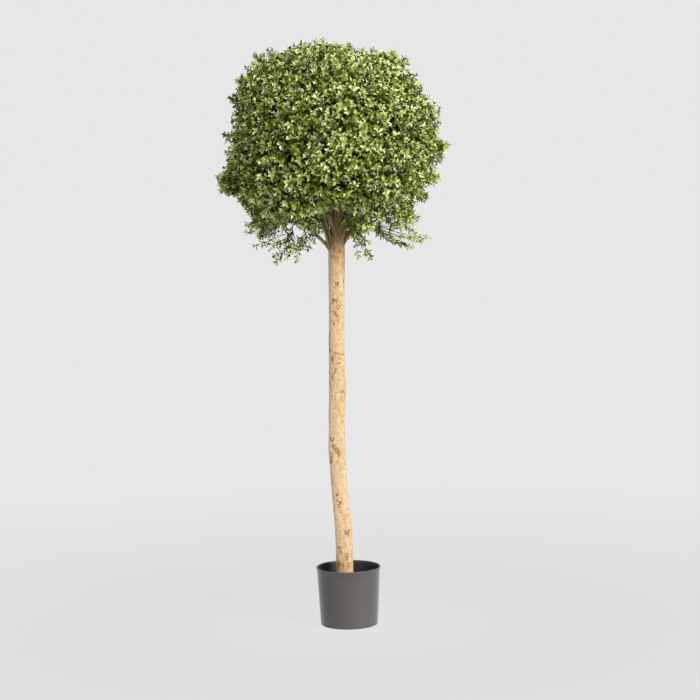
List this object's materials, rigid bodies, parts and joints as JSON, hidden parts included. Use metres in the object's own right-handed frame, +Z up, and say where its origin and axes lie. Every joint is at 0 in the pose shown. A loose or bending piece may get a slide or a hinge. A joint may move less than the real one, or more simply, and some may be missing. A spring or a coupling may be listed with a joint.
{
  "type": "artificial ball topiary in a pot",
  "caption": "Artificial lollipop topiary: a ball of small box leaves on a slim, slightly crooked peeled wooden stem, set in a plain dark plastic nursery pot.",
  "frame": {"origin": "centre of the pot's flat underside, on the ground", "axes": "+Z up along the stem; -Y towards the front, where the gap under the ball shows the fork; +X to the right seen from the front"},
  "size_m": [0.5787, 0.5386, 1.4954],
  "materials": {
    "pot": "matte",
    "cement": "matte",
    "stem_wood": "satin",
    "limb_wood": "matte",
    "plastic_stem": "matte",
    "foliage": "satin"
  },
  "bodies": {
    "root": {"bough_lower_back_left": "limb_wood", "bough_lower_back_right": "plastic_stem", "bough_lower_left": "plastic_stem", "bough_lower_right": "limb_wood", "bough_middle_back": "plastic_stem", "bough_middle_back_left": "limb_wood", "bough_middle_back_right": "limb_wood", "bough_middle_front": "plastic_stem", "bough_middle_front_left": "plastic_stem", "bough_middle_front_right": "plastic_stem", "bough_top": "limb_wood", "bough_upper_back_left": "plastic_stem", "bough_upper_back_right": "plastic_stem", "bough_upper_front_left": "plastic_stem", "bough_upper_front_right": "plastic_stem", "foliage_lower_back_left": "foliage", "foliage_lower_back_right": "foliage", "foliage_lower_front_left": "foliage", "foliage_lower_front_right": "foliage", "foliage_lower_left": "foliage", "foliage_lower_right": "foliage", "foliage_middle_back": "foliage", "foliage_middle_back_left": "foliage", "foliage_middle_back_right": "foliage", "foliage_middle_front": "foliage", "foliage_middle_front_left": "foliage", "foliage_middle_front_right": "foliage", "foliage_top": "foliage", "foliage_upper_back_left": "foliage", "foliage_upper_back_right": "foliage", "foliage_upper_front_left": "foliage", "foliage_upper_front_right": "foliage", "pot": "pot", "pot_filling": "cement", "trunk": "stem_wood"}
  },
  "joints": []
}
